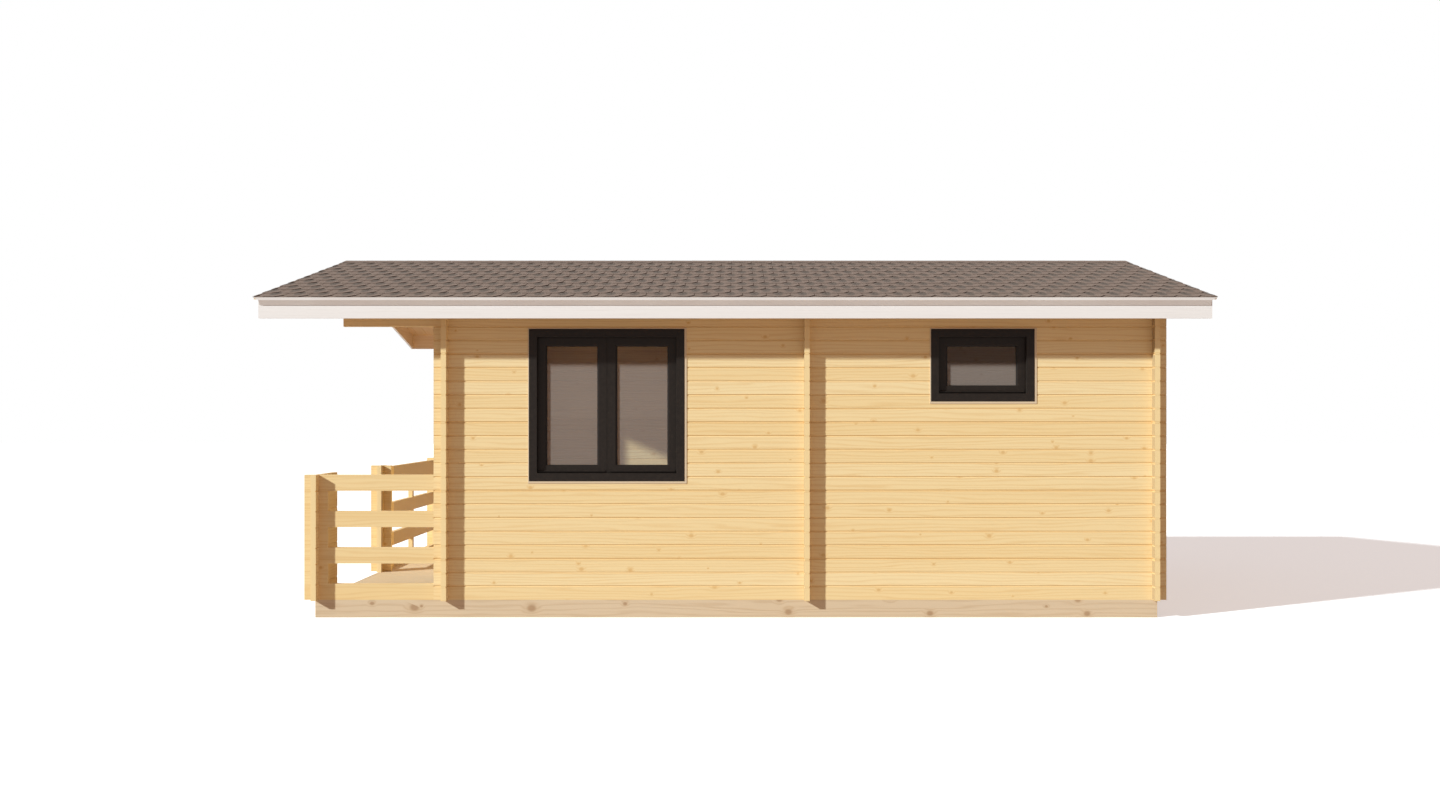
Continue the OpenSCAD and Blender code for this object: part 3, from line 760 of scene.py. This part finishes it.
def sashRing(rect, place):
    # flat bar with softened arrises and a quarter-round bead outside the pane:
    # inset(t) = bar + bead sin t, depth(t) = foot - tall cos t, lower along the bottom rail
    j, e = joinery, joinery["edge"]
    bar, front = j["sash"], j["sashIn"]
    turn = np.radians([0.0, 30.0, 60.0, 90.0])
    foot = front + j["glassIn"] - j["beadGap"]
    tall = foot - front - j["beadIn"]
    roomInsets, roomDepths = roomSide(bar)
    insets = [0.0, e, bar - e, bar, *(bar + j["bead"] * np.sin(turn)), bar, *roomInsets]
    depths = [front + e, front, front, front + e, *(foot - tall * np.cos(turn)), foot, *roomDepths]
    rects = insetBy(rect, insets)
    rects[4:8, 1] = rect[1] + bar + j["sillBead"] * np.sin(turn)
    return ringLoop(rects, depths, place)


def dripBar(rect, place):
    # sloped weather bar along a sash's bottom rail
    j = joinery
    front, out = j["sashIn"], j["sashIn"] - j["dripOut"]
    low = rect[1] + j["dripIn"]
    ends = np.array([[rect[0] + j["dripIn"]], [rect[2] - j["dripIn"]]])
    height = np.array([low, low, low + j["dripNose"], low + j["dripTall"]])
    return prismOn(ends, np.array([front, out, out, front]), height, place)


def stripFinish():
    material, flow, shader = newMaterial("paleCasingStrip")
    at = places(flow)
    grain = flow.noise(flow.vector(at["x"] * 3.0, at["y"] * 60.0, at["z"] * 60.0), 1.0, 3.0)
    colour = flow.blend(grain, joinery["stripPale"], joinery["stripGrain"])
    dress(flow, shader, colour, 0.6 + grain * 0.15, grain, 0.0003)
    return material


stripPale = stripFinish()


def fitWindow(name, node, place, leaves):
    low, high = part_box(node + "_frame")
    if place is onNearWall:
        rect = (low.x, low.z, high.x, high.z)
    else:
        rect = (low.y, low.z, high.y, high.z)
    j = joinery
    inner = insetBy(rect, [j["casing"]])[0]
    insets, depths = casingProfile()
    parts = [ringLoop(insetBy(rect, insets), depths, place)]
    middle, half = (rect[0] + rect[2]) / 2, j["mullion"] / 2
    if leaves == 2:
        parts.append(barBetween((middle - half, j["sashIn"], inner[1]),
                                (middle + half, j["sashIn"] + j["sashThick"], inner[3]), j["mullionEdge"], place))
    points, faces = gather(parts)
    makePiece(name + "Casing", points, faces, blackSatin, "black_frame", (node + "_frame",))

    width = (inner[2] - inner[0] - (leaves - 1) * j["mullion"]) / leaves
    sashes = []
    for k in range(leaves):
        left = inner[0] + k * (width + j["mullion"])
        leaf = (left, inner[1], left + width, inner[3])
        sashes += [sashRing(leaf, place), dripBar(leaf, place)]
    points, faces = gather(sashes)
    sashNode = node + ("_sashes" if leaves == 2 else "_sash")
    makePiece(name + "Sashes", points, faces, blackSatin, "black_frame", (sashNode,))

    # pale strip of wood round the casing, wider below and to the right
    thin, wide, proud, seat = j["stripThin"], j["stripWide"], j["stripProud"], j["stripSeat"]
    outer = (rect[0] - thin, rect[1] - wide, rect[2] + wide, rect[3] + thin)
    within = insetBy(rect, [j["stripLap"]])[0]
    points, faces = ringLoop([outer, outer, within, within], [seat, -proud, -proud, seat], place)
    makePiece(name + "Strip", points, faces.tolist(), stripPale, "wall_logs")


fitWindow("largeWindow", "large_window", onNearWall, 2)
fitWindow("smallWindow", "small_window", onNearWall, 1)
fitWindow("frontWindow", "front_window", onFrontWall, 2)
print("windows fitted")


# Door: threshold frame, glazed leaf with a moulded lower panel, steel lever handles

doorLook = {
    "sill": 0.040, "sillFoot": 0.002, "stile": 0.110, "slope": 0.008, "kick": 0.760,
    "panelIn": 0.105, "moulding": 0.024, "mouldingTall": 0.006, "mouldingSeat": -0.001,
}


def footed(rect, insets, foot):  # rectangles inset at the sides and the top, with feet of their own
    rects = insetBy(rect, insets)
    rects[:, 1] = rect[1] + np.asarray(foot)
    return rects


def fitDoor():
    d, e = doorLook, joinery["edge"]
    low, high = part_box("door_frame")
    rect = (low.y, low.z, high.y, high.z)
    insets, depths = casingProfile()
    sill, toe = d["sill"], d["sillFoot"]
    foot = [0.0, e, sill - e, sill, sill, sill - e, toe, toe, toe / 2, 0.0, 0.0, toe, toe, 0.0]
    points, faces = ringLoop(footed(rect, insets, foot), depths, onFrontWall)
    makePiece("doorFrame", points, faces.tolist(), blackSatin, "black_frame", ("door_frame",))

    low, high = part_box("door_leaf")
    leaf = (low.y, low.z, high.y, high.z)
    front, rear = joinery["sashIn"], joinery["sashIn"] + joinery["sashThick"]
    stile, kick, inset = d["stile"], d["kick"], d["panelIn"]
    roomInsets, roomDepths = roomSide(stile)
    insets = np.array([0.0, e, stile - d["slope"], stile, *roomInsets])
    depths = [front + e, front, front, front + d["slope"], *roomDepths]
    foot = np.where(insets > stile / 2, insets - stile + kick, insets)  # the glazing starts over the kick panel
    parts = [ringLoop(footed(leaf, insets, foot), depths, onFrontWall)]
    panel = (leaf[0] + inset, leaf[1] + inset, leaf[2] - inset, leaf[1] + kick - inset)
    width, tall, seat = d["moulding"], d["mouldingTall"], d["mouldingSeat"]
    steps = insetBy(panel, [0.0, 0.2 * width, 0.55 * width, width])
    rise = np.array([seat, tall, 0.8 * tall, seat])
    for face, out in ((front, -1.0), (rear, 1.0)):
        parts.append(ringLoop(steps, face + out * rise, onFrontWall))
    points, faces = gather(parts)
    makePiece("doorLeaf", points, faces, blackSatin, "black_frame", ("door_leaf",))


fitDoor()

handleLook = {
    "plateWide": 0.036, "plateTall": 0.220, "plateThick": 0.006, "corner": 0.017,
    "bar": 0.0088, "neck": 0.034, "bend": 0.014, "lever": 0.119, "sides": 20,
    "bright": srgb(190, 190, 188), "dull": srgb(160, 160, 158),
}


def steelFinish():
    material, flow, shader = newMaterial("brushedSteel")
    at = places(flow)
    brush = flow.noise(flow.vector(at["x"] * 60.0, at["y"] * 60.0, at["z"] * 1400.0), 1.0, 3.0, 0.6)
    cloud = flow.noise(at["here"], 30.0, 2.0)
    colour = flow.blend(brush * 0.6 + cloud * 0.3, handleLook["bright"], handleLook["dull"])
    dress(flow, shader, colour, 0.28 + brush * 0.14, brush, 0.00003)
    shader.inputs["Metallic"].default_value = 1.0
    return material


def handleParts(centre, face, out):
    look = handleLook
    # plate: rounded outline, (layer, angle) grid from the leaf's face to a slightly smaller front
    angle = np.linspace(0.0, 2 * math.pi, 48, endpoint=False)
    reachY, reachZ = look["plateWide"] / 2 - look["corner"], look["plateTall"] / 2 - look["corner"]
    inset = np.array([0.0, 0.0, 0.0006, 0.0022])[:, None]
    lift = np.array([0.0, 0.0042, 0.0055, look["plateThick"]])[:, None]
    across = np.sign(np.cos(angle)) * reachY + np.cos(angle) * (look["corner"] - inset)
    high = np.sign(np.sin(angle)) * reachZ + np.sin(angle) * (look["corner"] - inset)
    depth = np.broadcast_to(face + out * lift, across.shape)
    plate = onFrontWall(centre[0] + across, depth, centre[1] + high).reshape(-1, 3)
    # lever: round bar carried out from the plate, round a quarter bend, then along the leaf
    turn = np.linspace(0.0, math.pi / 2, 9)
    neck, bend = look["neck"], look["bend"]
    straight = look["lever"] - look["bar"]
    pathOut = np.concatenate([[0.001], neck - bend + bend * np.sin(turn), [neck] * 3])
    pathAlong = np.concatenate([[0.0], bend * (1 - np.cos(turn)), [0.5 * straight, straight - 0.003, straight]])
    size = np.concatenate([np.full(len(pathOut) - 1, 1.0), [0.72]])[:, None] * look["bar"]
    headOut, headAlong = np.gradient(pathOut), np.gradient(pathAlong)
    length = np.hypot(headOut, headAlong)[:, None]
    wind = np.linspace(0.0, 2 * math.pi, look["sides"], endpoint=False)[None]
    offset = size * np.cos(wind)
    across = centre[0] - (pathAlong[:, None] - offset * headOut[:, None] / length)
    depth = face + out * (look["plateThick"] + pathOut[:, None] - offset * headAlong[:, None] / length)
    lever = onFrontWall(across, depth, centre[1] + size * np.sin(wind)).reshape(-1, 3)
    return [(plate, tubeFaces(len(inset), len(angle))), (lever, tubeFaces(len(pathOut), look["sides"]))]


def tubeFaces(rings, count):  # skin between rings, with a face at each end
    grid = np.arange(rings * count).reshape(rings, count)
    side = np.roll(grid, -1, axis=1)
    skin = np.stack([grid[:-1], side[:-1], side[1:], grid[1:]], axis=-1).reshape(-1, 4).tolist()
    return skin + [grid[0, ::-1].tolist(), grid[-1].tolist()]


def fitHandle():
    low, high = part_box("door_handle")
    centre = (high.y - handleLook["plateWide"] / 2, (low.z + high.z) / 2)
    rear = joinery["sashIn"] + joinery["sashThick"]
    points, faces = gather(handleParts(centre, joinery["sashIn"], -1.0) + handleParts(centre, rear, 1.0))
    piece = makePiece("doorHandles", points, faces, steelFinish(), "handle_steel", ("door_handle",))
    piece.data.polygons.foreach_set("use_smooth", np.ones(len(piece.data.polygons), dtype=bool))


fitHandle()
print("door fitted")


# Stage: pale floor, white surroundings, low sun from the terrace end

stageLook = {
    "floorHalf": 60.0,
    "floorTone": (1.0, 1.0, 1.0, 1.0),
    "floorLift": 0.42,                # keeps the floor white up to the horizon and its shadow light
    "floorBounce": (0.49, 0.40, 0.34, 1.0),
    "sky": (0.328, 0.25, 0.228, 1.0),
    "sunColour": (0.85, 0.97, 1.0),
    "sunStrength": 4.85,
    "sunTravel": (1.80, 1.0, -1.04),
    "sunSize": 2.0,
}


def seenDirectly(flow):  # camera, mirror and see-through rays
    path = flow.node("LightPath")
    return (path + path.also(3) + path.also(6)).apply("MINIMUM", 1.0)


def makeFloor():
    far = stageLook["floorHalf"]
    mesh = bpy.data.meshes.new("floor")
    mesh.from_pydata([(-far, -far, 0), (far, -far, 0), (far, far, 0), (-far, far, 0)], [], [(0, 1, 2, 3)])
    material, flow, shader = newMaterial("paleFloor")
    at = places(flow)
    mottle = flow.noise(at["here"], 0.8, 2.0)
    pale = flow.blend(mottle * 0.1, stageLook["floorTone"], srgb(250, 249, 248))
    seen = seenDirectly(flow)
    flow.feed(shader.inputs["Base Color"], flow.blend(seen, stageLook["floorBounce"], pale))
    glow = flow.blend(seen, (0.0, 0.0, 0.0, 1.0), stageLook["floorTone"])
    flow.feed(shader.inputs["Emission Color"], glow)
    shader.inputs["Emission Strength"].default_value = stageLook["floorLift"]
    shader.inputs["Roughness"].default_value = 0.9
    shader.inputs["Specular IOR Level"].default_value = 0.0
    mesh.materials.append(material)
    floor = bpy.data.objects.new("floor", mesh)
    bpy.context.scene.collection.objects.link(floor)


def makeSky():
    world = bpy.data.worlds.new("whiteRoom")
    world.use_nodes = True
    tree = world.node_tree
    tree.nodes.clear()
    flow = Flow(tree)
    seen = seenDirectly(flow)
    colour = flow.blend(seen, stageLook["sky"], (1.0, 1.0, 1.0, 1.0))
    background = flow.node("Background", None, {0: colour, 1: 1.0})
    output = tree.nodes.new("ShaderNodeOutputWorld")
    tree.links.new(background.socket, output.inputs[0])
    bpy.context.scene.world = world


def makeSun():
    light = bpy.data.lights.new("sun", "SUN")
    light.energy = stageLook["sunStrength"]
    light.angle = math.radians(stageLook["sunSize"])
    light.color = stageLook["sunColour"]
    lamp = bpy.data.objects.new("sun", light)
    lamp.rotation_euler = Vector(stageLook["sunTravel"]).to_track_quat("-Z", "Y").to_euler()
    bpy.context.scene.collection.objects.link(lamp)


viewLook = {
    "place": (0.0216, -12.629, 1.665),
    "focalPixels": 1284.0,
    "imageWidth": 1440.0,
    "imageHeight": 810.0,
    "axisPixel": (738.0, 414.5),      # where the level line of sight meets the photograph
}


def makeCamera():
    camera = bpy.data.cameras.new("camera")
    camera.sensor_width = 36.0
    camera.lens = viewLook["focalPixels"] / viewLook["imageWidth"] * camera.sensor_width
    camera.shift_x = (viewLook["imageWidth"] / 2 - viewLook["axisPixel"][0]) / viewLook["imageWidth"]
    camera.shift_y = (viewLook["axisPixel"][1] - viewLook["imageHeight"] / 2) / viewLook["imageWidth"]
    eye = bpy.data.objects.new("camera", camera)
    eye.location = viewLook["place"]
    eye.rotation_euler = (math.pi / 2, 0.0, 0.0)
    bpy.context.scene.collection.objects.link(eye)
    bpy.context.scene.camera = eye


makeFloor()
makeSky()
makeSun()
makeCamera()
bpy.context.scene.view_settings.view_transform = "Standard"
print("stage, sun and camera set")
